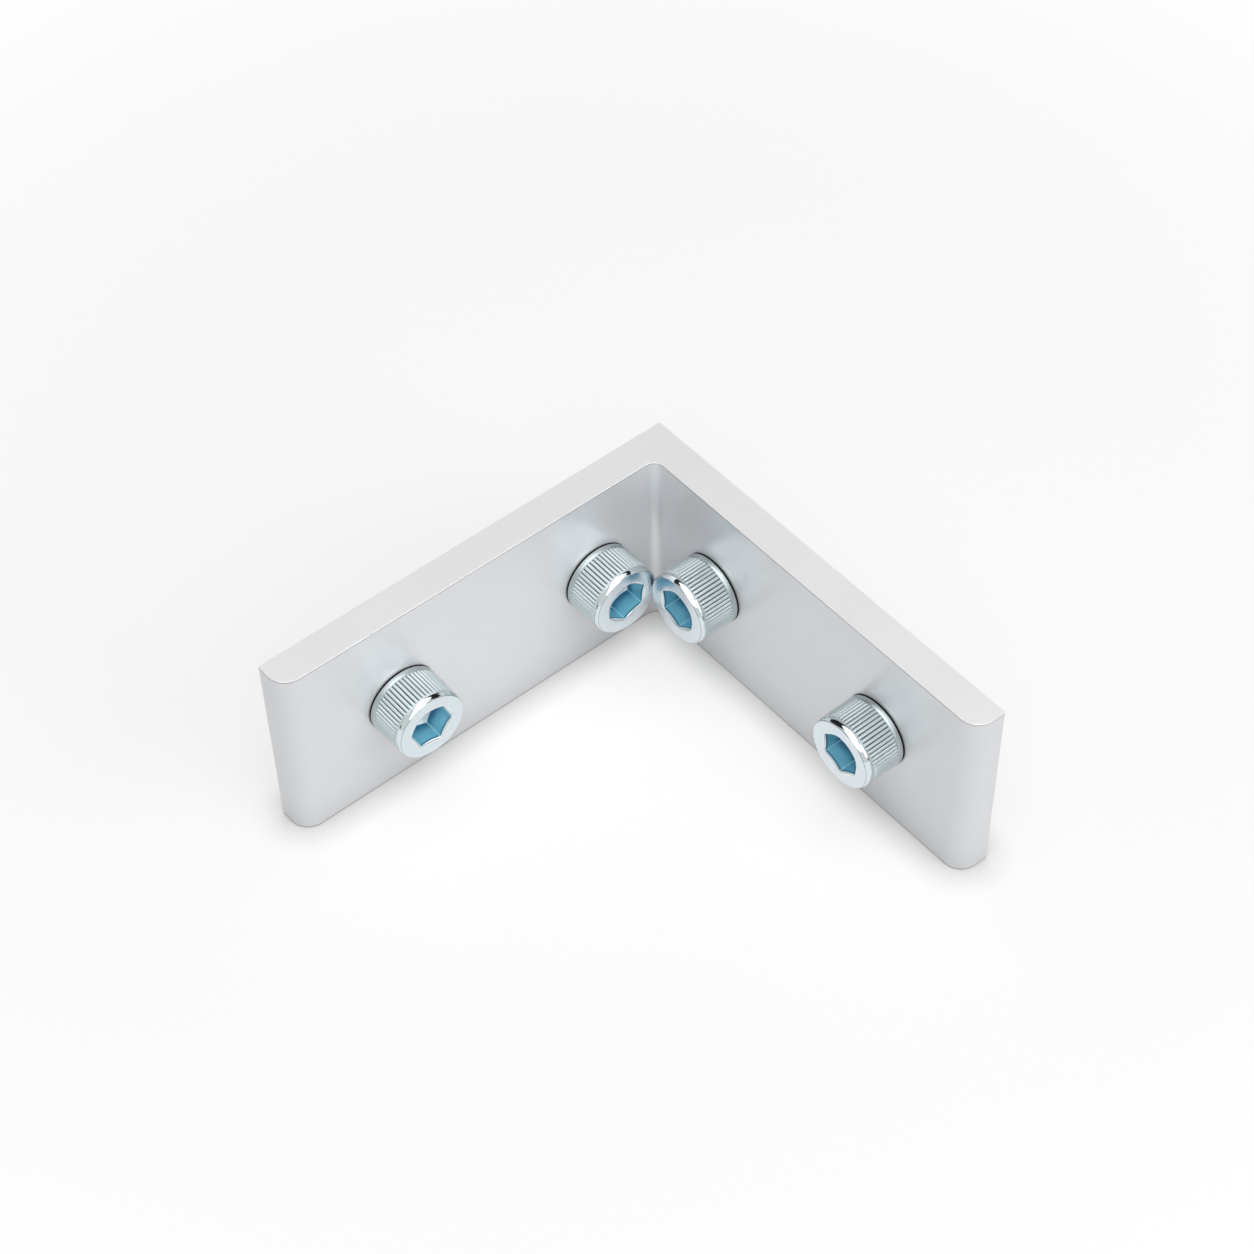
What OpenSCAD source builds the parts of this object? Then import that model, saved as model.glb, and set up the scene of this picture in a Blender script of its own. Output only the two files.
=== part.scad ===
// Corner bracket sawn from an extruded L section, fastened with four socket head cap screws.
// Millimetres. The origin is the outer corner at the base edge. One leg runs along +X and the
// other along +Y, their outer faces are the planes Y = 0 and X = 0, and +Z runs up the corner.

/* [Bracket] */
// Length of the leg along X, from the outer corner
leg_x = 80; // [76:0.5:120]
// Length of the leg along Y, from the outer corner
leg_y = 80; // [77:0.5:120]
// Thickness of both legs
wall = 6; // [5:0.1:8]
// Height of the sawn length, from the base edge to the top edge
bracket_h = 36.6; // [32:0.1:45]
// Radius of the fillet in the inner corner
inner_r = 2; // [1:0.1:4]
// Radius on the inner edge of each leg's end
end_r = 3.5; // [2:0.1:4.5]
// Diameter of the four clearance holes
hole_d = 9; // [8.4:0.1:10]

/* [Screw places] */
// Height of the four screws above the base edge
screw_z = 18; // [14:0.1:22]
// From the outer corner to the inner screw of the X leg
x_inner = 18.8; // [18:0.1:22]
// From the inner to the outer screw of the X leg
x_pitch = 40; // [30:0.1:46]
// From the inner to the outer screw of the Y leg
y_pitch = 39.1; // [30:0.1:44]
// Gap between the heads of the two inner screws, across the corner
heads_gap = 0.15; // [0.1:0.05:1.5]

/* [Screw head] */
// Diameter of the head
head_d = 12.8; // [12.6:0.1:13.3]
// Height of the head
head_h = 7.9; // [7.6:0.1:8.6]
// Height of the plain band at the foot of the head
foot_h = 1.2; // [0.6:0.1:2]
// Chamfer under the edge of the head
foot_chamfer = 0.2; // [0.1:0.05:0.4]
// Number of ribs of the straight knurl
knurl_count = 56; // [36:1:72]
// Depth of the grooves between the ribs
knurl_depth = 0.2; // [0.1:0.05:0.3]
// Height of the plain crown above the knurl
crown_h = 1.2; // [1:0.1:1.6]
// Radius of the rounded side of the crown, which ends in a crisp rim at the face
crown_r = 1.9; // [1.6:0.1:5]

/* [Hex socket] */
// Distance across the flats
hex_af = 6.8; // [6:0.1:7]
// Depth of the flats at their corners
hex_depth = 3.7; // [3.6:0.1:4.3]
// Slope of the conical bottom, in degrees
hex_bottom_slope = 35; // [20:1:35]
// How far the round countersink of the mouth reaches past the corners of the flats
mouth_reach = 0.1; // [0.05:0.05:0.4]
// Slope of the countersink, in degrees
mouth_slope = 25; // [15:1:45]
// Turn of the socket of the X leg's inner screw, in degrees
turn_x_inner = 22; // [0:1:59]
// Turn of the socket of the X leg's outer screw, in degrees
turn_x_outer = 52; // [0:1:59]
// Turn of the socket of the Y leg's inner screw, in degrees
turn_y_inner = 5; // [0:1:59]
// Turn of the socket of the Y leg's outer screw, in degrees
turn_y_outer = 4; // [0:1:59]

/* [Screw shank] */
// Length of the shank below the head
screw_len = 14; // [12:0.5:20]
// Outer diameter of the thread
thread_d = 7.9; // [7.6:0.05:8]
// Diameter of the plain neck that passes through the leg
neck_d = 7.2; // [6.8:0.1:7.4]
// From the leg's outer face to the first full turn of the thread
thread_start = 0.3; // [0.1:0.1:1]
// Chamfer at the tip of the thread
tip_chamfer = 0.8; // [0.4:0.1:1.2]

/* [Hidden] */
$fn = 96;
// How far a cut runs past the solid that it cuts
over = 1;
// How deep the ribs of the knurl reach into the foot band and the crown
rib_seat = 0.1;
// How far the crests of the ribs stay inside the foot band and the crown
rib_inset = 0.02;

// The Y leg's inner head stands just clear of the face of the X leg's inner head
y_inner = wall + head_h + heads_gap + head_d / 2;
x_outer = x_inner + x_pitch;
y_outer = y_inner + y_pitch;

head_r = head_d / 2;
knurl_top = head_h - crown_h;
crest_r = head_r - rib_inset;
root_r = head_r - knurl_depth;
crown_z = knurl_top + rib_seat;
hex_r = hex_af / sqrt(3);
cone_h = hex_r * tan(hex_bottom_slope);

// What is cut away at a corner that stands at the origin, to leave a round of radius r
module corner_cut(r) {
    difference() {
        translate([-r, -r]) square(r + over);
        translate([-r, -r]) circle(r);
    }
}

// The extruded section, seen from above
module section() {
    difference() {
        union() {
            square([leg_x, wall]);
            square([wall, leg_y]);
            translate([wall, wall]) difference() {
                square([inner_r, inner_r]);
                translate([inner_r, inner_r]) circle(inner_r);
            }
        }
        translate([leg_x, wall]) corner_cut(end_r);
        translate([wall, leg_y]) corner_cut(end_r);
    }
}

// A hole through the X leg at distance x from the outer corner
module hole_in_x_leg(x) {
    translate([x, -over, screw_z]) rotate([-90, 0, 0]) cylinder(h = wall + 2 * over, d = hole_d);
}

// A hole through the Y leg at distance y from the outer corner
module hole_in_y_leg(y) {
    translate([-over, y, screw_z]) rotate([0, 90, 0]) cylinder(h = wall + 2 * over, d = hole_d);
}

module bracket() {
    color([0.84, 0.85, 0.86]) difference() {
        linear_extrude(bracket_h) section();
        hole_in_x_leg(x_inner);
        hole_in_x_leg(x_outer);
        hole_in_y_leg(y_inner);
        hole_in_y_leg(y_outer);
    }
}

// Half section of the head without its ribs: foot band, waist under the ribs, crown
module head_profile() {
    waist_r = root_r - rib_inset;
    polygon([
        [0, 0],
        [head_r - foot_chamfer, 0],
        [head_r, foot_chamfer],
        [head_r, foot_h],
        [waist_r, foot_h],
        [waist_r, knurl_top],
        [head_r, knurl_top],
        [head_r, crown_z],
        [head_r - crown_r, crown_z],
        [head_r - crown_r, head_h],
        [0, head_h]
    ]);
    translate([head_r - crown_r, crown_z]) intersection() {
        circle(crown_r);
        square([crown_r, head_h - crown_z]);
    }
}

// Outline of the knurl: a crest and a groove for each rib
function knurl_point(i) =
    let (r = i % 2 == 0 ? crest_r : root_r, a = 180 * i / knurl_count)
    [r * cos(a), r * sin(a)];

module knurl() {
    translate([0, 0, foot_h - rib_seat])
        linear_extrude(knurl_top - foot_h + 2 * rib_seat)
            polygon([for (i = [0 : 2 * knurl_count - 1]) knurl_point(i)]);
}

// Hex socket with a conical bottom and a round countersunk mouth, cut down from the face of the head
module hex_socket() {
    // Small end of the countersink's cone, clear of the flats, and how deep it lies
    mouth_in = hex_af / 2 - over;
    mouth_z = (hex_r + mouth_reach - mouth_in) * tan(mouth_slope);
    translate([0, 0, head_h]) {
        intersection() {
            translate([0, 0, -hex_depth - cone_h - over])
                cylinder(h = hex_depth + cone_h + 2 * over, r = hex_r, $fn = 6);
            rotate_extrude() polygon([
                [0, over],
                [hex_r + over, over],
                [hex_r + over, -hex_depth + over * tan(hex_bottom_slope)],
                [0, -hex_depth - cone_h]
            ]);
        }
        translate([0, 0, -mouth_z])
            cylinder(h = mouth_z + over, r1 = mouth_in, r2 = hex_r + mouth_reach + over / tan(mouth_slope));
    }
}

// Half section of the shank: plain neck through the leg, then the thread as a plain cylinder
module shank_profile() {
    neck_end = wall + thread_start;
    polygon([
        [0, over],
        [neck_d / 2, over],
        [neck_d / 2, -neck_end],
        [thread_d / 2, -neck_end],
        [thread_d / 2, -screw_len + tip_chamfer],
        [thread_d / 2 - tip_chamfer, -screw_len],
        [0, -screw_len]
    ]);
}

// Socket head cap screw, with its axis along Z and the underside of its head at Z = 0
module cap_screw(turn) {
    color([0.76, 0.81, 0.84]) difference() {
        union() {
            rotate_extrude() head_profile();
            knurl();
            rotate_extrude() shank_profile();
        }
        rotate([0, 0, turn]) hex_socket();
    }
}

// A screw whose head seats on the inner face of the X leg
module screw_in_x_leg(x, turn) {
    translate([x, wall, screw_z]) rotate([-90, 0, 0]) cap_screw(turn);
}

// A screw whose head seats on the inner face of the Y leg
module screw_in_y_leg(y, turn) {
    translate([wall, y, screw_z]) rotate([0, 90, 0]) cap_screw(turn);
}

module cap_screw_x_inner() { screw_in_x_leg(x_inner, turn_x_inner); }
module cap_screw_x_outer() { screw_in_x_leg(x_outer, turn_x_outer); }
module cap_screw_y_inner() { screw_in_y_leg(y_inner, turn_y_inner); }
module cap_screw_y_outer() { screw_in_y_leg(y_outer, turn_y_outer); }

bracket();
cap_screw_x_inner();
cap_screw_x_outer();
cap_screw_y_inner();
cap_screw_y_outer();
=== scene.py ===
"""Corner bracket with its four socket head cap screws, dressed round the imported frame.

Lengths are in metres, in the frame's own axes: +X and +Y run along the legs and +Z up the corner.
Run as a script, it builds the bracket, the screws, a plain studio and the camera.
"""

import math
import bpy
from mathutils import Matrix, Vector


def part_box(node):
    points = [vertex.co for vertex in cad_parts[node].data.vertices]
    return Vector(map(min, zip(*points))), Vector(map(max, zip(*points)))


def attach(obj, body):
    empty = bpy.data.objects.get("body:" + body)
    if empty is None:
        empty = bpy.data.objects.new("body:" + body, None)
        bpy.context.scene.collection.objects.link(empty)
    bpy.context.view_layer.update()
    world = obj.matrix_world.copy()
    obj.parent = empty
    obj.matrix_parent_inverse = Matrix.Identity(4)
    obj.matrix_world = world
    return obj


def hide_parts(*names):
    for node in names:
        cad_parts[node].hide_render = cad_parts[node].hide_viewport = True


bl_info = {
    "name": "Corner Bracket",
    "version": (1, 0, 0),
    "blender": (4, 5, 0),
    "location": "View3D > Sidebar > Bracket",
    "description": "Builds a satin aluminium corner bracket and its knurled cap screws",
    "category": "Object",
}

import bmesh
import bpy
from bpy.props import FloatProperty, FloatVectorProperty, IntProperty, PointerProperty
from mathutils import Matrix, Vector

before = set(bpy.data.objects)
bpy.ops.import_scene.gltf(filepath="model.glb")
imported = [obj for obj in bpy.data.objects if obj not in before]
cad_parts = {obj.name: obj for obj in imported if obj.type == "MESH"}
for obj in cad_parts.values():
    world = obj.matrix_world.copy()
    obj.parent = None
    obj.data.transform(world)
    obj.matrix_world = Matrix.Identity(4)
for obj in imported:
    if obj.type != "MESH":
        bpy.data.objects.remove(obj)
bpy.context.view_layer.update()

BODY = "root"
LOW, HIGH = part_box("bracket")
X_LEG_SCREWS = ("cap_screw_x_inner", "cap_screw_x_outer")
Y_LEG_SCREWS = ("cap_screw_y_inner", "cap_screw_y_outer")
MM = 0.001
WELD = 0.002 * MM
SHARP_DEGREES = 38


def length(name, text, default, low=0.0, high=0.5):
    """A property that holds a length in metres."""
    return FloatProperty(
        name=name, description=text, default=default, min=low, max=high,
        precision=5, subtype="DISTANCE", unit="LENGTH",
    )


def turn(name, text, degrees):
    """A property that holds an angle."""
    return FloatProperty(
        name=name, description=text, default=math.radians(degrees),
        precision=3, subtype="ANGLE", unit="ROTATION",
    )


def share(name, text, default, high=1.0):
    """A property that holds a plain number from 0 up."""
    return FloatProperty(name=name, description=text, default=default, min=0.0, max=high)


def colour(name, text, default):
    """A property that holds a linear colour."""
    return FloatVectorProperty(
        name=name, description=text, default=default, min=0.0, max=1.0, size=3, subtype="COLOR"
    )


class BracketSizes(bpy.types.PropertyGroup):
    """Sizes of the extruded and sawn bracket"""

    wall: length("Wall", "Thickness of both legs", 6 * MM)
    inner_radius: length("Inner radius", "Fillet in the inner corner", 2 * MM)
    end_radius: length("End radius", "Round on the inner edge of each leg's end", 3.5 * MM)
    corner_radius: length("Corner radius", "Small round on the section's outer corners", 0.3 * MM)
    edge_break: length("Edge break", "Rounding of the sawn edges", 0.12 * MM)
    hole_diameter: length("Hole diameter", "Clearance holes through the legs", 9 * MM)
    hole_chamfer: length("Hole chamfer", "Deburred rim of each hole", 0.3 * MM)


class ScrewSizes(bpy.types.PropertyGroup):
    """Sizes of the cap screws"""

    head_diameter: length("Head diameter", "Diameter of the head", 12.8 * MM)
    head_height: length("Head height", "Height of the head", 7.9 * MM)
    foot_height: length("Foot height", "Plain band at the foot of the head", 1.2 * MM)
    foot_chamfer: length("Foot relief", "Height of the slit under the edge of the head", 0.3 * MM)
    foot_step: length("Foot step", "How far the slit reaches in under the edge", 0.3 * MM)
    rib_count: IntProperty(name="Ribs", description="Ribs of the straight knurl", default=56, min=12)
    rib_depth: length("Rib depth", "Depth of the grooves between the ribs", 0.26 * MM)
    rib_inset: length("Rib inset", "How far the crests lie below the foot band", 0.05 * MM)
    crown_height: length("Crown height", "Plain crown above the ribs", 1.2 * MM)
    crown_radius: length("Crown radius", "Radius of the crown's rounded side", 1.9 * MM)
    rim_radius: length("Rim radius", "Small round between the crown and the face", 0.08 * MM)
    socket_width: length("Socket width", "Hexagon across its flats", 6.8 * MM)
    socket_depth: length("Socket depth", "Depth of the flats at their corners", 3.7 * MM)
    socket_slope: turn("Socket slope", "Slope of the conical bottom", 35)
    mouth_reach: length("Mouth reach", "Round countersink past the corners of the flats", 0.1 * MM)
    mouth_slope: turn("Mouth slope", "Slope of the countersink", 20)
    lip_width: length("Lip width", "Bevel along the top of the flats", 0.14 * MM)
    shank_length: length("Shank length", "Length below the head", 14 * MM)
    thread_diameter: length("Thread diameter", "Outer diameter of the thread", 7.9 * MM)
    thread_root: length("Thread root", "Diameter at the bottom of the thread", 6.5 * MM)
    thread_pitch: length("Thread pitch", "From one turn of the thread to the next", 1.25 * MM)
    thread_runout: length("Thread runout", "Over which the thread rises from the neck", 0.9 * MM)
    neck_diameter: length("Neck diameter", "Plain neck inside the leg", 7.2 * MM)
    neck_end: length("Neck end", "From the leg's outer face to the thread", 0.3 * MM)
    tip_chamfer: length("Tip chamfer", "Chamfer at the tip of the thread", 0.8 * MM)
    turn_x_inner: turn("Turn, X inner", "Turn of this screw's socket", 22)
    turn_x_outer: turn("Turn, X outer", "Turn of this screw's socket", 52)
    turn_y_inner: turn("Turn, Y inner", "Turn of this screw's socket", 5)
    turn_y_outer: turn("Turn, Y outer", "Turn of this screw's socket", 4)


class FinishColours(bpy.types.PropertyGroup):
    """Colours and gloss of the two metals, with their painted shade and highlights"""

    aluminium: colour("Aluminium", "Natural anodised aluminium", (0.84, 0.85, 0.87))
    aluminium_sawn: colour("Aluminium, sawn", "The two sawn faces", (0.87, 0.865, 0.875))
    aluminium_metal: share("Aluminium metal", "How metallic the satin layer looks", 0.42)
    aluminium_gloss: share("Aluminium roughness", "Roughness of the satin layer", 0.32)
    zinc: colour("Zinc", "Bright passivated zinc", (0.72, 0.79, 0.81))
    zinc_face: colour("Zinc face", "Head faces, a little paler and bluer", (0.70, 0.76, 0.81))
    zinc_cloud: colour("Zinc, cloudy", "Faint clouds in the passivation", (0.74, 0.84, 0.84))
    # Painted shade in the grooves, the slit, the line above the foot band and the lines round the bevel
    # and the face; a quarter of it darkens the foot band
    zinc_dark: colour("Zinc, dark", "Grooves and the slit under the head", (0.03, 0.04, 0.045))
    # The passivation's blue, painted darker and more saturated as shade inside the socket
    socket_light: colour("Socket, light", "Blue of the socket's flats", (0.25, 0.66, 0.83))
    # Painted shade: the flats darken towards the conical bottom
    socket_deep_shade: colour("Socket, deep", "Blue of the flats near the conical bottom", (0.05, 0.25, 0.42))
    # Painted shade: a dark blue line under the top of the flats
    socket_lip_shade: colour("Socket, lip", "Dark blue line at the top of the flats", (0.01, 0.11, 0.20))
    # Painted highlight: a pale line where two flats meet
    socket_corner_highlight: colour("Socket, edge", "Pale line where two flats meet", (0.60, 0.95, 1.0))
    # Painted highlight on the bevel at the top of the flats and on the conical bottom
    socket_highlight: colour("Socket, bottom", "Bright bevel and conical bottom", (0.88, 0.94, 0.96))


class StudioSettings(bpy.types.PropertyGroup):
    """Floor, lamps and camera"""

    floor_size: length("Floor size", "Side of the square floor", 6.0, high=20.0)
    floor_colour: colour("Floor colour", "Plain pale floor", (0.38, 0.38, 0.38))
    floor_lift: share("Floor lift", "What camera and gloss see on top of the floor's own light", 0.60)
    shadow_end: length("Shadow end", "From the corner to where the floor begins to whiten", 0.09)
    white_from: length("White from", "From the corner to where the floor is plain white", 0.5)
    sky: share("Sky", "Strength of the even light from all round", 0.30, high=5.0)
    sheen: share("Sky in the gloss", "Strength of the pale background that metal shows", 0.75, high=1.0)
    dim: share("Dim sky", "Strength of the sky in its dim areas", 0.02, high=5.0)
    above: share("Lamp above", "Power of the large lamp above, in watts", 5.8, high=100.0)
    key: share("Key lamp", "Power of the lamp on the camera's side, in watts", 3.6, high=100.0)
    right: share("Right lamp", "Power of the lamp at the right, in watts", 3.0, high=100.0)
    azimuth: turn("Azimuth", "Direction that the camera looks from", 141.1907)
    elevation: turn("Elevation", "Height of the camera above the horizon", 49.4003)
    roll: turn("Roll", "Tilt of the camera round its own axis", -1.3221)
    lens: FloatProperty(name="Lens", description="Focal length in millimetres", default=84.2145)


# Where the camera stands
CAMERA_PLACE = Vector((0.215711, 0.258467, 0.378121))
# Name, place, side and power setting of each lamp
LAMPS = (
    ("lamp above", (0.0, 0.0, 1.1), 0.9, "above"),
    ("key lamp", (0.42, 0.50, 0.85), 0.8, "key"),
    ("right lamp", (-0.30, 0.88, 0.55), 0.7, "right"),
)
# Middles of the two dim areas of the sky, which the heads' crowns show as dark spots
DIM_BEHIND = Vector((-0.32, -0.64, 0.68)).normalized()
DIM_BESIDE = Vector((-0.68, 0.12, 0.72)).normalized()


class Term:
    """A node's output that takes part in Python arithmetic; each operation adds a Math node."""

    def __init__(self, sheet, socket):
        self.sheet = sheet
        self.socket = socket

    def maths(self, operation, *values):
        """Adds a Math node on these values."""
        return self.sheet.add("ShaderNodeMath", {"operation": operation}, dict(enumerate(values)))

    def at_least(self, other):
        """The larger of the two."""
        return self.maths("MAXIMUM", self, other)

    def __add__(self, other):
        return self.maths("ADD", self, other)

    __radd__ = __add__

    def __sub__(self, other):
        return self.maths("SUBTRACT", self, other)

    def __rsub__(self, other):
        return self.maths("SUBTRACT", other, self)

    def __mul__(self, other):
        return self.maths("MULTIPLY", self, other)

    __rmul__ = __mul__

    def __truediv__(self, other):
        return self.maths("DIVIDE", self, other)

    def __pow__(self, other):
        return self.maths("POWER", self, other)

    def __abs__(self):
        return self.maths("ABSOLUTE", self)


class Sheet:
    """A node tree that is written as plain calls."""

    def __init__(self, tree):
        self.tree = tree
        tree.nodes.clear()

    def add(self, kind, settings=None, sockets=None, output=0):
        """Adds a node, makes its settings, then fills its sockets, and gives one of its outputs."""
        node = self.tree.nodes.new(kind)
        for key, value in (settings or {}).items():
            setattr(node, key, value)
        for key, value in (sockets or {}).items():
            if isinstance(value, Term):
                self.tree.links.new(value.socket, node.inputs[key])
            else:
                node.inputs[key].default_value = value
        return Term(self, node.outputs[output]) if len(node.outputs) else node

    def rise(self, value, low, high):
        """0 below low, 1 above high and smooth between, or falling where low is above high."""
        return self.add(
            "ShaderNodeMapRange", {"interpolation_type": "SMOOTHSTEP"},
            {"Value": value, "From Min": low, "From Max": high},
        )

    def blend(self, factor, first, second):
        """Mixes two colours."""
        sockets = {0: factor, 6: opaque(first), 7: opaque(second)}
        return self.add("ShaderNodeMix", {"data_type": "RGBA"}, sockets, output=2)

    def noise(self, place, scale, detail=2.0):
        """Noise from 0 to 1 with features of about 1 / scale metres."""
        sockets = {"Vector": place, "Scale": scale, "Detail": detail}
        return self.add("ShaderNodeTexNoise", {}, sockets, output="Fac")

    def stretched(self, place, scale):
        """The place times a scale along each axis."""
        return self.add("ShaderNodeVectorMath", {"operation": "MULTIPLY"}, {0: place, 1: scale})

    def split(self, vector):
        """The three parts of a vector."""
        node = self.add("ShaderNodeSeparateXYZ", {}, {0: vector}).socket.node
        return [Term(self, socket) for socket in node.outputs]

    def toward(self, facing, direction):
        """The cosine of the angle between two directions."""
        sockets = {0: facing, 1: direction}
        return self.add("ShaderNodeVectorMath", {"operation": "DOT_PRODUCT"}, sockets, "Value")

    def bump(self, height, distance):
        """A normal that follows a height in units of distance."""
        return self.add("ShaderNodeBump", {}, {"Height": height, "Distance": distance, "Strength": 1.0})


def opaque(value):
    """A colour with its fourth part, or the link as it is."""
    return value if isinstance(value, Term) else (*value, 1.0)


def finish_sheet(name):
    """A new material and the sheet of its nodes."""
    material = bpy.data.materials.new(name)
    material.use_nodes = True
    return material, Sheet(material.node_tree)


def surface(sheet, sockets):
    """The principled shader at the end of a material."""
    shader = sheet.add("ShaderNodeBsdfPrincipled", {}, sockets)
    sheet.add("ShaderNodeOutputMaterial", {}, {"Surface": shader})


def node_middle(node):
    """The middle of a CAD node's box."""
    low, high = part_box(node)
    return (low + high) / 2


def painted_shade_under_heads(sheet, place, wall, head_radius):
    """1 on the inner faces where a screw's head covers them: painted shade, which makes the slit under
    it dark.
    """
    x, y, z = sheet.split(place)
    painted_shade = 0.0
    for node in X_LEG_SCREWS + Y_LEG_SCREWS:
        middle = node_middle(node)
        beside, through = (x - middle.x, y) if node in X_LEG_SCREWS else (y - middle.y, x)
        above = z - middle.z
        away = (beside * beside + above * above) ** 0.5
        inner_side = sheet.rise(through, wall - 2 * MM, wall - 1 * MM)
        under = sheet.rise(away, head_radius + 0.03 * MM, head_radius - 0.02 * MM)
        painted_shade = painted_shade + inner_side * under
    return painted_shade


def satin_aluminium(tint, wall, head_radius):
    """Etched and anodised extrusion: fine grain, faint lines along the length, sawn ends, and painted
    shade along the sawn edges and under the screw heads.
    """
    material, sheet = finish_sheet("satin anodised aluminium")
    place = sheet.add("ShaderNodeTexCoord", output="Object")
    facing = sheet.split(sheet.add("ShaderNodeNewGeometry", output="Normal"))
    sawn = sheet.rise(abs(facing[2]), 0.7, 0.9)
    cloud = sheet.noise(place, 55.0, 3.0)
    mottle = sheet.noise(place, 420.0, 2.0)
    lines = sheet.noise(sheet.stretched(place, (1.0, 1.0, 0.012)), 3200.0, 3.0)
    saw = sheet.noise(sheet.stretched(place, (0.35, 0.35, 1.0)), 1500.0, 4.0)
    grain = sheet.noise(place, 9000.0, 2.0)
    specks = sheet.add("ShaderNodeTexVoronoi", {}, {"Vector": place, "Scale": 210.0}, "Distance")
    speck = sheet.rise(specks, 0.045, 0.02)
    height = sheet.split(place)[2]
    middle, half = (HIGH.z + LOW.z) / 2, (HIGH.z - LOW.z) / 2
    to_edge = half - abs(height - middle) - 0.12 * MM * mottle
    # Painted shade: a thin dark band just inside both sawn edges, for the thin shadow under the top
    # edge and the contact shadow along the bottom
    painted_edge_shade = sheet.rise(to_edge, 0.28 * MM, 0.20 * MM) * sheet.rise(to_edge, 0.0, 0.05 * MM)
    # Random specks, together with the painted edge shade
    specks_and_edge_shade = (0.03 * speck + 0.40 * painted_edge_shade) * (1 - sawn)
    tone = 0.97 + (0.05 + 0.04 * sawn) * cloud + 0.02 * mottle - specks_and_edge_shade
    # Painted shade: the aluminium under each screw head is painted nearly black, so the slit under the
    # head looks dark
    tone = tone * (1 - 0.95 * painted_shade_under_heads(sheet, place, wall, head_radius))
    base = sheet.add(
        "ShaderNodeVectorMath", {"operation": "SCALE"},
        {0: sheet.blend(sawn, tint.aluminium, tint.aluminium_sawn), "Scale": tone},
    )
    relief = lines * 0.35 * (1 - sawn) + saw * 0.5 * sawn + grain * 0.6
    surface(sheet, {
        "Base Color": base,
        "Metallic": tint.aluminium_metal * (1 - 0.7 * sawn),
        "Roughness": tint.aluminium_gloss - 0.05 + 0.06 * cloud + 0.05 * grain + 0.06 * sawn,
        "Normal": sheet.bump(relief, 0.004 * MM),
    })
    return material


def socket_blue(sheet, tint, s, radius, depth, cloud, bottom):
    """Blue of the socket, with painted shade deeper towards the bottom and under the lip, and painted
    highlights at the corners and on the conical bottom.
    """
    corner = s.socket_width / math.sqrt(3)
    patchy = 1.6 * MM * (cloud - 0.5)
    above_cone = s.socket_depth + math.tan(s.socket_slope) * (corner - radius) - depth
    below_lip = depth - s.lip_width - math.tan(s.mouth_slope) * (corner - radius)
    # Painted shade, deeper towards the conical bottom
    deep = sheet.rise(above_cone + patchy, 1.8 * MM, 0.1 * MM)
    # Painted shade under the lip
    lip = sheet.rise(below_lip + 0.25 * patchy, 0.45 * MM, 0.1 * MM)
    # Painted highlight where two flats meet
    edge = sheet.rise(radius, corner - 0.08 * MM, corner - 0.04 * MM)
    blue = sheet.blend(deep, tint.socket_light, tint.socket_deep_shade)
    blue = sheet.blend(lip * 0.7, blue, tint.socket_lip_shade)
    blue = sheet.blend(edge * 0.8, blue, tint.socket_corner_highlight)
    # Painted highlight on the conical bottom
    return sheet.blend(bottom, blue, tint.socket_highlight)


def head_marks(sheet, s, radius, z, inside):
    """Masks on the outside of the head: ribbed stretch, and painted shade in the grooves, in the slit,
    on a line above the foot and on the rim.
    """
    depth = s.head_height - z
    edge = s.head_diameter / 2
    crest = edge - s.rib_inset
    outside = sheet.rise(radius, edge - 1.0 * MM, edge - 0.8 * MM)
    ribbed = (
        sheet.rise(z, s.foot_height, s.foot_height + 0.1 * MM)
        * sheet.rise(depth, s.crown_height - 0.1 * MM, s.crown_height + 0.1 * MM)
        * (1 - inside)
    )
    # Painted shade in the grooves between the ribs
    groove = ribbed * sheet.rise(radius, crest - 0.06 * MM, crest - 0.9 * s.rib_depth)
    # Painted shade: the slit under the edge of the head is painted near black
    slit = outside * sheet.rise(z, s.foot_chamfer, s.foot_chamfer - 0.06 * MM)
    # Painted shade: a dark line in the groove where the ribs rise from the foot band
    foot_groove_shade = (
        sheet.rise(z, s.foot_height - 0.02 * MM, s.foot_height + 0.02 * MM)
        * sheet.rise(z, s.foot_height + 0.16 * MM, s.foot_height + 0.09 * MM)
        * outside
    )
    # Painted shade: a thin dark line on the round between the crown and the face
    rim = outside * sheet.rise(depth, 0.01 * MM, 0.03 * MM) * sheet.rise(depth, 0.09 * MM, 0.06 * MM)
    return ribbed, groove, slit, foot_groove_shade, rim


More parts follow.
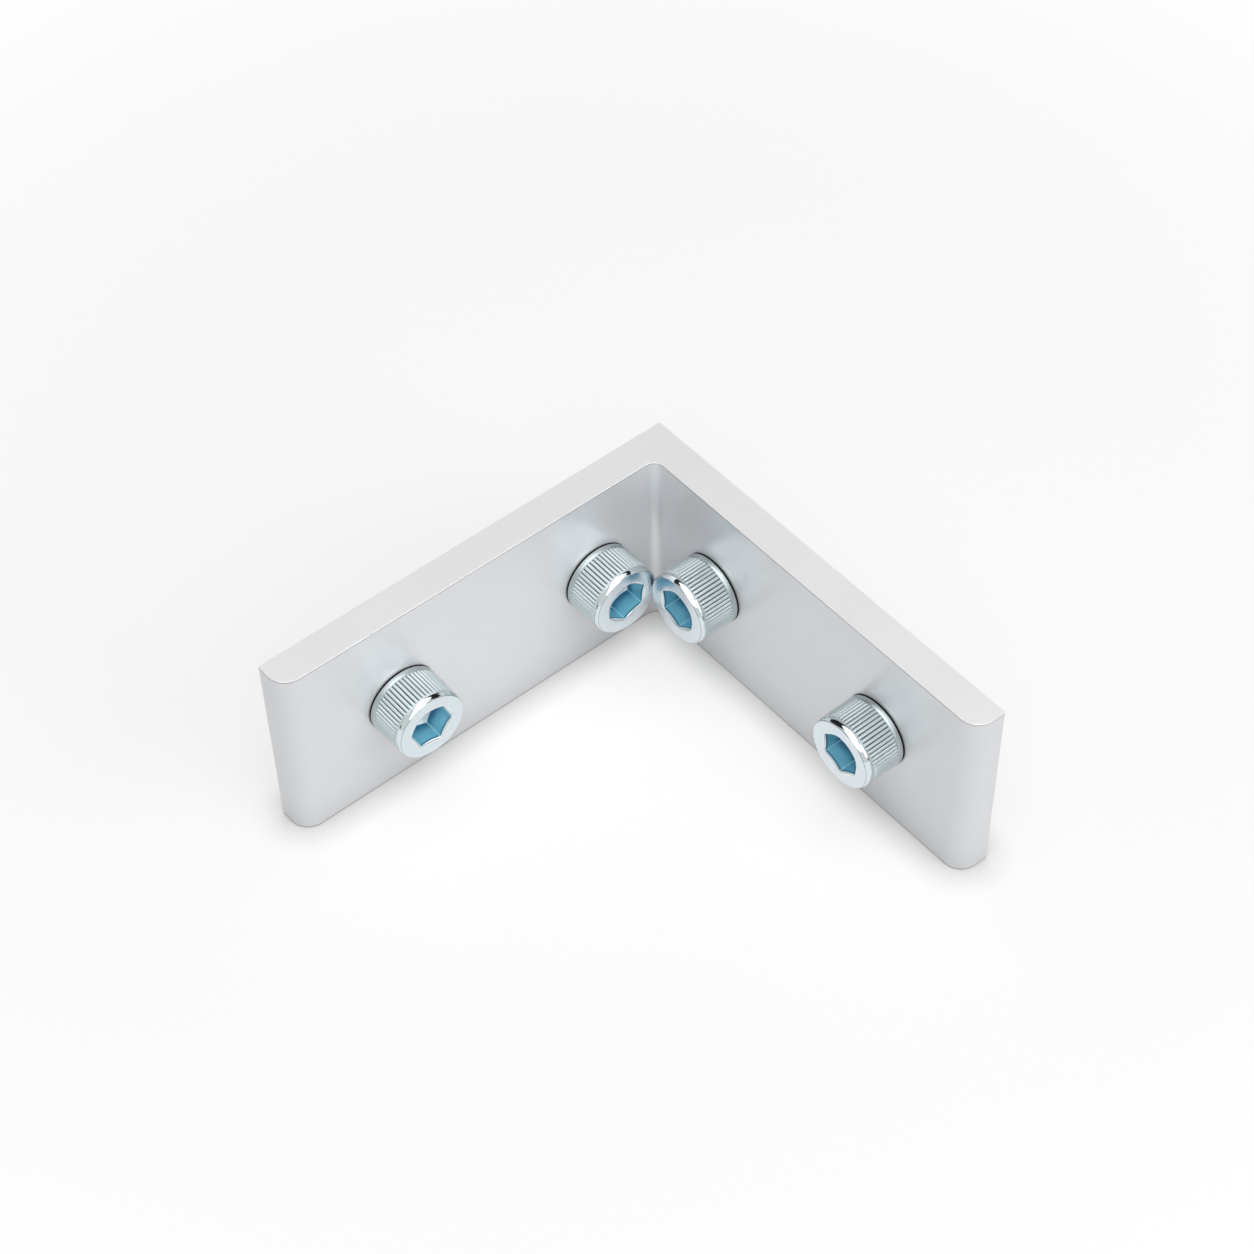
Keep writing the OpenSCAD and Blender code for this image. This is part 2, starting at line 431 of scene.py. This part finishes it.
def bright_zinc(tint, s):
    """Bright passivated zinc on steel: inside the socket its blue is painted deeper as shade, with
    painted highlights on the bevel and the conical bottom, and painted shade lines on the head.
    """
    material, sheet = finish_sheet("bright passivated zinc")
    place = sheet.add("ShaderNodeAttribute", {"attribute_name": "screw_place"}, output="Vector")
    x, y, z = sheet.split(place)
    radius = (x * x + y * y) ** 0.5
    depth = s.head_height - z
    cloud = sheet.noise(place, 260.0, 3.0)
    grain = sheet.noise(place, 6500.0, 2.0)
    dents = sheet.noise(place, 900.0, 2.0)
    # How far out a point lies, measured square to the nearest flat of the hexagon
    lean = math.sqrt(3) / 2
    across = abs(y).at_least(abs(lean * x + 0.5 * y)).at_least(abs(lean * x - 0.5 * y))
    flat = s.socket_width / 2
    lip_edge = flat + s.lip_width
    inside = sheet.rise(across, flat + 0.03 * MM, flat + 0.005 * MM) * sheet.rise(z, 0.0, 0.1 * MM)
    # Painted highlight: the conical bottom of the socket
    bottom = sheet.rise(across, flat - 0.005 * MM, flat - 0.03 * MM)
    near_face = sheet.rise(depth, 0.9 * MM, 0.7 * MM)
    # Painted highlight: the bevel at the top of the flats, near the face
    bevel = near_face * (1 - inside) * sheet.rise(across, lip_edge + 0.01 * MM, lip_edge)
    face = sheet.rise(z, s.head_height - 0.04 * MM, s.head_height - 0.01 * MM)
    foot = sheet.rise(z, s.foot_height, s.foot_height - 0.03 * MM)
    ribbed, groove, slit, foot_groove_shade, rim = head_marks(sheet, s, radius, z, inside)
    # Painted shade: broken dark lines round the bevel and at the edge of the face
    corner = s.socket_width / math.sqrt(3)
    line = sheet.rise(abs(across - lip_edge - 0.03 * MM), 0.045 * MM, 0.02 * MM)
    line = line * near_face * sheet.rise(radius, corner + s.mouth_reach, corner)
    line = line * sheet.rise(cloud, 0.35, 0.55) + rim * sheet.rise(cloud, 0.3, 0.5)
    skin = sheet.blend(face, tint.zinc, tint.zinc_face)
    skin = sheet.blend(0.25 * cloud, skin, tint.zinc_cloud)
    skin = sheet.blend(0.25 * foot, skin, tint.zinc_dark)
    # Inside the socket the passivation's blue, painted as shade
    base = sheet.blend(inside, skin, socket_blue(sheet, tint, s, radius, depth, cloud, bottom))
    base = sheet.blend(bevel * 0.8, base, tint.socket_highlight)
    # Painted shade from the grooves, the slit, the dark lines and the line above the foot
    base = sheet.blend(groove * 0.8 + slit + line * 0.8 + foot_groove_shade * 0.4, base, tint.zinc_dark)
    gloss = 0.06 + 0.05 * cloud + 0.17 * face + 0.24 * foot + 0.12 * inside
    gloss = gloss + 0.06 * ribbed + 0.15 * groove + 0.4 * slit + 0.3 * foot_groove_shade
    relief = grain * 0.5 * (1 - 0.85 * face) + dents * (2.0 - 1.2 * face - 1.2 * inside)
    surface(sheet, {
        "Base Color": base,
        "Metallic": 1.0 - inside * (0.72 + 0.08 * bottom) - 0.6 * bevel,
        "Roughness": gloss,
        "Normal": sheet.bump(relief, 0.0015 * MM),
    })
    return material


def light_path(sheet, *rays):
    """Masks that are 1 for light of these kinds."""
    node = sheet.add("ShaderNodeLightPath").socket.node
    return [Term(sheet, node.outputs[ray]) for ray in rays]


def floor_paper(settings):
    """Plain pale floor that looks white to the camera and keeps the object's shadow."""
    material, sheet = finish_sheet("pale floor")
    rays = ("Is Camera Ray", "Is Glossy Ray", "Is Transmission Ray")
    camera, glossy, clear = light_path(sheet, *rays)
    x, y, _ = sheet.split(sheet.add("ShaderNodeTexCoord", output="Object"))
    far = sheet.rise((x * x + y * y) ** 0.5, settings.shadow_end, settings.white_from)
    open_above = sheet.add("ShaderNodeAmbientOcclusion", {"samples": 8}, {"Distance": 6 * MM}, "AO")
    matt = sheet.add("ShaderNodeBsdfDiffuse", {}, {"Color": (*settings.floor_colour, 1.0)})
    lifted = (camera + glossy + clear) * settings.floor_lift
    strength = open_above * (lifted + camera * far * (1 - settings.floor_lift))
    lift = sheet.add("ShaderNodeEmission", {}, {"Strength": strength})
    both = sheet.add("ShaderNodeAddShader", {}, {0: matt, 1: lift})
    sheet.add("ShaderNodeOutputMaterial", {}, {"Surface": both})
    return material


def arc(centre, radius, start, stop, steps):
    """Points on an arc, angles in degrees, both ends included."""
    points = []
    for step in range(steps + 1):
        angle = math.radians(start + (stop - start) * step / steps)
        points.append((centre[0] + radius * math.cos(angle), centre[1] + radius * math.sin(angle)))
    return points


def section(s, inset):
    """The L section, counter-clockwise, with all its faces moved in by inset."""
    leg_x, leg_y = HIGH.x, HIGH.y
    small = s.corner_radius
    edge = s.wall - s.end_radius
    hollow = s.wall + s.inner_radius
    points = arc((small, small), small - inset, 180, 270, 3)
    points += arc((leg_x - small, small), small - inset, 270, 360, 3)
    points += arc((leg_x - s.end_radius, edge), s.end_radius - inset, 0, 90, 16)
    points += arc((hollow, hollow), s.inner_radius + inset, 270, 180, 12)
    points += arc((edge, leg_y - s.end_radius), s.end_radius - inset, 0, 90, 16)
    points += arc((small, leg_y - small), small - inset, 90, 180, 3)
    return points


def ring_faces(bm, lower, upper):
    """Closes the band between two rings of as many points."""
    for i, corner in enumerate(lower):
        j = (i + 1) % len(lower)
        bm.faces.new((corner, lower[j], upper[j], upper[i]))


def strip_faces(bm, rows):
    """Closes the bands between open rows of as many points."""
    for lower, upper in zip(rows, rows[1:]):
        for step in range(len(lower) - 1):
            bm.faces.new((lower[step], lower[step + 1], upper[step + 1], upper[step]))


def mesh_object(name, bm, material=None):
    """An object at the origin that holds this mesh."""
    mesh = bpy.data.meshes.new(name)
    bm.to_mesh(mesh)
    bm.free()
    if material is not None:
        mesh.materials.append(material)
    obj = bpy.data.objects.new(name, mesh)
    bpy.context.scene.collection.objects.link(obj)
    return obj


def settle(obj):
    """Turns an object's modifiers into plain mesh and takes them off."""
    graph = bpy.context.evaluated_depsgraph_get()
    graph.update()
    mesh = bpy.data.meshes.new_from_object(obj.evaluated_get(graph))
    obj.modifiers.clear()
    obj.data = mesh
    return obj


def smooth_shade(obj):
    """Smooth faces with crisp edges, where the large faces keep their own direction."""
    obj.data.shade_smooth()
    obj.data.set_sharp_from_angle(angle=math.radians(SHARP_DEGREES))
    weighted = obj.modifiers.new("Weighted normals", "WEIGHTED_NORMAL")
    weighted.keep_sharp = True
    return settle(obj)


def drill(s, obj):
    """Cuts the four clearance holes, with deburred rims, through both legs."""
    bm = bmesh.new()
    reach = 1 * MM
    bore, rim = s.hole_diameter / 2, s.hole_diameter / 2 + s.hole_chamfer
    steps = [
        (-reach, rim + reach), (s.hole_chamfer, bore),
        (s.wall - s.hole_chamfer, bore), (s.wall + reach, rim + reach),
    ]
    for node in X_LEG_SCREWS + Y_LEG_SCREWS:
        along = leg_matrix(node, 0.0)
        rings = []
        for height, radius in steps:
            circle = arc((0, 0), radius, 0, 360, 96)[:-1]
            rings.append([bm.verts.new(along @ Vector((a, b, height))) for a, b in circle])
        for lower, upper in zip(rings, rings[1:]):
            ring_faces(bm, lower, upper)
        bm.faces.new(rings[0][::-1])
        bm.faces.new(rings[-1])
    bmesh.ops.recalc_face_normals(bm, faces=bm.faces)
    cutter = mesh_object("hole_cutter", bm)
    cut = obj.modifiers.new("Holes", "BOOLEAN")
    cut.object = cutter
    cut.solver = "EXACT"
    settle(obj)
    bpy.data.objects.remove(cutter)


def leg_matrix(node, height):
    """Puts a screw's own axes, Z out of its head, on its leg, with Z = 0 at this height of the wall."""
    middle = node_middle(node)
    if node in X_LEG_SCREWS:
        return Matrix.Translation((middle.x, height, middle.z)) @ Matrix.Rotation(-math.pi / 2, 4, "X")
    return Matrix.Translation((height, middle.y, middle.z)) @ Matrix.Rotation(math.pi / 2, 4, "Y")


def repeat_tree():
    """Geometry Nodes that repeat one sector round the Z axis and weld the copies into one skin."""
    tree = bpy.data.node_groups.new("repeat_round_axis", "GeometryNodeTree")
    face = tree.interface
    face.new_socket("Sector", in_out="INPUT", socket_type="NodeSocketGeometry")
    face.new_socket("Copies", in_out="INPUT", socket_type="NodeSocketInt")
    face.new_socket("Weld Distance", in_out="INPUT", socket_type="NodeSocketFloat")
    face.new_socket("Finish", in_out="INPUT", socket_type="NodeSocketMaterial")
    face.new_socket("Skin", in_out="OUTPUT", socket_type="NodeSocketGeometry")
    sheet = Sheet(tree)
    entry = sheet.add("NodeGroupInput").socket.node
    sector, copies, weld, finish = [Term(sheet, entry.outputs[i]) for i in range(4)]
    points = sheet.add("GeometryNodePoints", {}, {"Count": copies})
    angle = sheet.add("GeometryNodeInputIndex") * math.tau / copies
    facing = sheet.add("ShaderNodeCombineXYZ", {}, {"Z": angle})
    placed = sheet.add(
        "GeometryNodeInstanceOnPoints", {},
        {"Points": points, "Instance": sector, "Rotation": facing},
    )
    real = sheet.add("GeometryNodeRealizeInstances", {}, {"Geometry": placed})
    welded = sheet.add("GeometryNodeMergeByDistance", {}, {"Geometry": real, "Distance": weld})
    done = sheet.add("GeometryNodeSetMaterial", {}, {"Geometry": welded, "Material": finish})
    sheet.add("NodeGroupOutput", {}, {"Skin": done})
    return tree


def repeated(tree, sector, copies, material):
    """One sector repeated round the Z axis, as plain mesh data."""
    obj = mesh_object("sector", sector)
    nodes = obj.modifiers.new("Repeat", "NODES")
    nodes.node_group = tree
    values = {"Copies": copies, "Weld Distance": WELD, "Finish": material}
    for item in tree.interface.items_tree:
        if item.name in values:
            nodes[item.identifier] = values[item.name]
    mesh = settle(obj).data
    bpy.data.objects.remove(obj)
    return mesh


def head_rows(s):
    """Rows of the head, from the neck to its face: radius, height and share of the rib's groove."""
    radius = s.head_diameter / 2
    rib = radius - s.rib_inset
    top = s.head_height - s.crown_height
    crown_z = top + 0.1 * MM
    rows = [
        (s.neck_diameter / 2, 0.0, 0.0),
        (radius - s.foot_step, 0.0, 0.0),
        (radius - s.foot_step, 0.85 * s.foot_chamfer, 0.0),
        (radius - 0.06 * MM, s.foot_chamfer, 0.0),
        (radius - 0.01 * MM, s.foot_chamfer + 0.05 * MM, 0.0),
        (radius, s.foot_chamfer + 0.15 * MM, 0.0),
        (radius, s.foot_height - 0.06 * MM, 0.0),
        (radius - 0.02 * MM, s.foot_height - 0.02 * MM, 0.0),
        (rib - 0.08 * MM, s.foot_height + 0.03 * MM, 0.0),
        (rib - 0.08 * MM, s.foot_height + 0.08 * MM, 0.3),
        (rib, s.foot_height + 0.16 * MM, 1.0),
        (rib, top - 0.50 * MM, 1.0),
        (rib, top - 0.28 * MM, 0.80),
        (rib, top - 0.10 * MM, 0.50),
        (rib + 0.01 * MM, top + 0.04 * MM, 0.22),
        (radius - 0.02 * MM, top + 0.16 * MM, 0.0),
    ]
    reach = s.crown_radius - s.rim_radius
    last = math.asin((s.head_height - s.rim_radius - crown_z) / reach)
    middle = radius - s.crown_radius
    rim = (middle + reach * math.cos(last), s.head_height - s.rim_radius)
    last = math.degrees(last)
    bend = arc((middle, crown_z), s.crown_radius, 5, last, 7) + arc(rim, s.rim_radius, last, 90, 5)[1:]
    rows += [(r, z, 0.0) for r, z in bend]
    return rows


def rib_sector(s):
    """One rib's share of the head's skin, from the neck round the edge to the face."""
    steps = 8
    # The higher this power, the wider the crests and the narrower the grooves
    crest_width = 2.6
    bm = bmesh.new()
    rows = []
    for radius, height, groove in head_rows(s):
        line = []
        for step in range(steps + 1):
            across = 2 * step / steps - 1
            r = radius - s.rib_depth * groove * abs(across) ** crest_width
            angle = across * math.pi / s.rib_count
            line.append(bm.verts.new((r * math.cos(angle), r * math.sin(angle), height)))
        rows.append(line)
    strip_faces(bm, rows[1:])
    neck, rim = rows[0], rows[1]
    half = steps // 2
    for first in (0, half):
        bm.faces.new([neck[first], neck[first + half]] + rim[first:first + half + 1][::-1])
    bmesh.ops.delete(bm, geom=[v for v in neck if not v.link_faces], context="VERTS")
    return bm


def socket_sector(s):
    """A sixth of the socket: countersink, bevel, flat and its share of the conical bottom."""
    steps = 12
    corner = s.socket_width / math.sqrt(3)
    mouth = corner + s.mouth_reach
    slope = math.tan(s.socket_slope)
    face = s.head_height
    kinds = ("mouth", "lip", "rim", "flat", "cone", "cone")
    shares_out = (1, 1, 1, 1, 0.66, 0.33)
    bm = bmesh.new()
    rows = []
    for share_out, kind in zip(shares_out, kinds):
        line = []
        for step in range(steps + 1):
            angle = step / steps * math.pi / 3
            across = 1 / math.cos(angle - math.pi / 6)
            radius = share_out * s.socket_width / 2 * across
            height = face - s.socket_depth - (corner - radius) * slope
            outer = min(radius + s.lip_width * across, mouth - 0.01 * MM)
            lip = face - (mouth - outer) * math.tan(s.mouth_slope)
            if kind == "rim":
                height = lip - s.lip_width
            if kind == "lip":
                radius, height = outer, lip
            if kind == "mouth":
                radius, height = mouth, face
            line.append(bm.verts.new((radius * math.cos(angle), radius * math.sin(angle), height)))
        rows.append(line)
    strip_faces(bm, rows)
    point = bm.verts.new((0, 0, face - s.socket_depth - corner * slope))
    for step in range(steps):
        bm.faces.new((rows[-1][step], rows[-1][step + 1], point))
    return bm


def shank(bm, s):
    """Neck and thread: a skin whose rows follow the helix, closed at the tip."""
    columns = 2 * s.rib_count
    neck, root, crest = s.neck_diameter / 2, s.thread_root / 2, s.thread_diameter / 2
    wall = bpy.context.scene.bracket_sizes.wall
    start = -(wall + s.neck_end)
    stop = -s.shank_length
    # Along one turn: share of the pitch, and height as a share of the thread's depth
    profile = [(0.0, 1.0), (0.125, 1.0), (0.4375, 0.0), (0.5625, -0.06), (0.6875, 0.0)]
    spare_turns = 4
    count = len(profile) * (int((start - stop) / s.thread_pitch) + spare_turns)
    shift = math.pi / s.rib_count

    def spot(column, row):
        """The point of the thread in this column and row."""
        lap, phase = divmod(row, len(profile))
        part, height = profile[phase]
        z = min(start, max(stop, start - s.thread_pitch * (lap + part + column / columns - 1)))
        wave = root + (crest - root) * height
        fade = min(1.0, (start - z) / s.thread_runout)
        r = neck + (wave - neck) * fade * fade * (3 - 2 * fade)
        r = min(r, crest - s.tip_chamfer + z - stop)
        angle = math.tau * column / columns - shift
        return bm.verts.new((r * math.cos(angle), r * math.sin(angle), z))

    grid = [[spot(column, row) for row in range(count)] for column in range(columns)]
    for column in range(columns):
        last = column == columns - 1
        beside = grid[0] if last else grid[column + 1]
        skip = len(profile) if last else 0
        for row in range(count - 1 - skip):
            a, b = grid[column][row], grid[column][row + 1]
            bm.faces.new((a, b, beside[row + 1 + skip], beside[row + skip]))
    top = [line[0] for line in grid]
    collar = [bm.verts.new((v.co.x, v.co.y, 0.0)) for v in top]
    ring_faces(bm, top, collar)
    bm.faces.new([line[-1] for line in grid])


def cap_screw(s, node, socket_turn, head, socket, material):
    """One screw, as one closed skin, in the place of its CAD node."""
    bm = bmesh.new()
    bm.from_mesh(socket)
    bmesh.ops.rotate(bm, verts=bm.verts, matrix=Matrix.Rotation(socket_turn, 3, "Z"))
    bm.from_mesh(head)
    shank(bm, s)
    bmesh.ops.remove_doubles(bm, verts=bm.verts, dist=WELD)
    rim = [e for e in bm.edges if e.is_boundary and e.verts[0].co.z > s.head_height - 0.01 * MM]
    bmesh.ops.triangle_fill(bm, edges=rim, use_beauty=True)
    bmesh.ops.recalc_face_normals(bm, faces=bm.faces)
    loose = [e for e in bm.edges if not e.is_manifold]
    if loose:
        raise RuntimeError(f"{node}: {len(loose)} edges of the skin are open")
    obj = mesh_object(f"{node}_finished", bm, material)
    to_socket = Matrix.Rotation(-socket_turn, 3, "Z")
    points = [part for vertex in obj.data.vertices for part in to_socket @ vertex.co]
    obj.data.attributes.new("screw_place", "FLOAT_VECTOR", "POINT").data.foreach_set("vector", points)
    obj.data.transform(leg_matrix(node, bpy.context.scene.bracket_sizes.wall))
    smooth_shade(obj)
    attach(obj, BODY)
    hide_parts(node)


class BRACKET_OT_body(bpy.types.Operator):
    """Builds the sawn L section with its rounded ends, broken edges and four holes"""

    bl_idname = "bracket.body"
    bl_label = "Bracket"

    def execute(self, context):
        s = context.scene.bracket_sizes
        tint = context.scene.finish_colours
        head_radius = context.scene.screw_sizes.head_diameter / 2
        bm = bmesh.new()
        rings = []
        quarter = arc((s.edge_break, s.edge_break), s.edge_break, 270, 180, 3)
        rows = [(inset, LOW.z + height) for inset, height in quarter]
        rows += [(inset, HIGH.z - height) for inset, height in quarter[::-1]]
        for inset, height in rows:
            rings.append([bm.verts.new((x, y, height)) for x, y in section(s, inset)])
        for lower, upper in zip(rings, rings[1:]):
            ring_faces(bm, lower, upper)
        bm.faces.new(rings[0][::-1])
        bm.faces.new(rings[-1])
        bmesh.ops.recalc_face_normals(bm, faces=bm.faces)
        obj = mesh_object("bracket_finished", bm)
        drill(s, obj)
        obj.data.materials.append(satin_aluminium(tint, s.wall, head_radius))
        smooth_shade(obj)
        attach(obj, BODY)
        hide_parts("bracket")
        return {"FINISHED"}


class BRACKET_OT_screws(bpy.types.Operator):
    """Builds the four knurled cap screws, each in the place of its CAD node"""

    bl_idname = "bracket.screws"
    bl_label = "Cap screws"

    def execute(self, context):
        s = context.scene.screw_sizes
        material = bright_zinc(context.scene.finish_colours, s)
        tree = repeat_tree()
        head = repeated(tree, rib_sector(s), s.rib_count, material)
        socket = repeated(tree, socket_sector(s), 6, material)
        turns = (s.turn_x_inner, s.turn_x_outer, s.turn_y_inner, s.turn_y_outer)
        for node, socket_turn in zip(X_LEG_SCREWS + Y_LEG_SCREWS, turns):
            cap_screw(s, node, socket_turn, head, socket, material)
        return {"FINISHED"}


def soft_lamp(name, place, size, power):
    """A square lamp that faces the bracket."""
    data = bpy.data.lights.new(name, "AREA")
    data.shape = "SQUARE"
    data.size = size
    data.energy = power
    lamp = bpy.data.objects.new(name, data)
    place = Vector(place)
    aim = (Vector((HIGH.x / 3, HIGH.y / 3, HIGH.z / 2)) - place).to_track_quat("-Z", "Y")
    lamp.matrix_world = Matrix.Translation(place) @ aim.to_matrix().to_4x4()
    bpy.context.scene.collection.objects.link(lamp)


class BRACKET_OT_studio(bpy.types.Operator):
    """Sets up the plain floor, soft lamps, even sky and the camera"""

    bl_idname = "bracket.studio"
    bl_label = "Studio"

    def execute(self, context):
        settings = context.scene.studio_settings
        bm = bmesh.new()
        bmesh.ops.create_grid(bm, x_segments=1, y_segments=1, size=settings.floor_size / 2)
        bmesh.ops.translate(bm, verts=bm.verts, vec=(0, 0, LOW.z - 0.02 * MM))
        mesh_object("floor", bm, floor_paper(settings))
        for name, place, size, power in LAMPS:
            soft_lamp(name, place, size, getattr(settings, power))
        self.add_sky(context.scene, settings)
        self.add_camera(context.scene, settings)
        context.scene.view_settings.view_transform = "Standard"
        return {"FINISHED"}

    @staticmethod
    def add_sky(scene, settings):
        """An even sky with dim areas, which the camera itself sees as white."""
        world = bpy.data.worlds.new("soft sky")
        scene.world = world
        world.use_nodes = True
        sheet = Sheet(world.node_tree)
        facing = sheet.add("ShaderNodeTexCoord", output="Generated")
        east, north, up = sheet.split(facing)
        horizon = sheet.rise(up, 0.22, 0.08) * sheet.rise(east + north, 0.90, 0.70)
        behind = sheet.rise(sheet.toward(facing, DIM_BEHIND), 0.695, 0.766)
        beside = sheet.rise(sheet.toward(facing, DIM_BESIDE), 0.94, 0.98)
        lit = (1 - horizon) * (1 - behind) * (1 - beside)
        camera, glossy = light_path(sheet, "Is Camera Ray", "Is Glossy Ray")
        sky = settings.sky + (settings.sheen - settings.sky) * glossy
        strength = camera + (1 - camera) * (settings.dim + (sky - settings.dim) * lit)
        light = sheet.add("ShaderNodeBackground", {}, {"Color": (1, 1, 1, 1), "Strength": strength})
        sheet.add("ShaderNodeOutputWorld", {}, {"Surface": light})

    @staticmethod
    def add_camera(scene, settings):
        """The camera looks from its azimuth and elevation, with a small roll."""
        flat = math.cos(settings.elevation)
        back = Vector((
            math.sin(settings.azimuth) * flat, -math.cos(settings.azimuth) * flat,
            math.sin(settings.elevation),
        ))
        right = (-back).cross(Vector((0, 0, 1))).normalized()
        level = Matrix((right, back.cross(right), back)).transposed()
        data = bpy.data.cameras.new("camera")
        data.sensor_fit = "HORIZONTAL"
        data.sensor_width = 36.0
        data.lens = settings.lens
        data.clip_start = 0.01
        camera = bpy.data.objects.new("camera", data)
        tilted = level @ Matrix.Rotation(settings.roll, 3, "Z")
        camera.matrix_world = Matrix.Translation(CAMERA_PLACE) @ tilted.to_4x4()
        scene.collection.objects.link(camera)
        scene.camera = camera


class BRACKET_PT_panel(bpy.types.Panel):
    """Lists the steps that build the bracket"""

    bl_idname = "BRACKET_PT_panel"
    bl_label = "Corner bracket"
    bl_space_type = "VIEW_3D"
    bl_region_type = "UI"
    bl_category = "Bracket"

    def draw(self, context):
        for group, step in STEPS:
            self.layout.operator(step)
            settings = getattr(context.scene, group)
            for key in settings.bl_rna.properties.keys()[2:]:
                self.layout.prop(settings, key)


STEPS = (
    ("bracket_sizes", "bracket.body"),
    ("screw_sizes", "bracket.screws"),
    ("finish_colours", "bracket.screws"),
    ("studio_settings", "bracket.studio"),
)
GROUPS = {
    "bracket_sizes": BracketSizes,
    "screw_sizes": ScrewSizes,
    "finish_colours": FinishColours,
    "studio_settings": StudioSettings,
}
CLASSES = (*GROUPS.values(), BRACKET_OT_body, BRACKET_OT_screws, BRACKET_OT_studio, BRACKET_PT_panel)


def register():
    for item in CLASSES:
        bpy.utils.register_class(item)
    for name, group in GROUPS.items():
        setattr(bpy.types.Scene, name, PointerProperty(type=group))


def unregister():
    for name in GROUPS:
        delattr(bpy.types.Scene, name)
    for item in reversed(CLASSES):
        bpy.utils.unregister_class(item)


def main():
    register()
    bpy.ops.bracket.studio()
    bpy.ops.bracket.body()
    bpy.ops.bracket.screws()


if __name__ == "__main__":
    main()
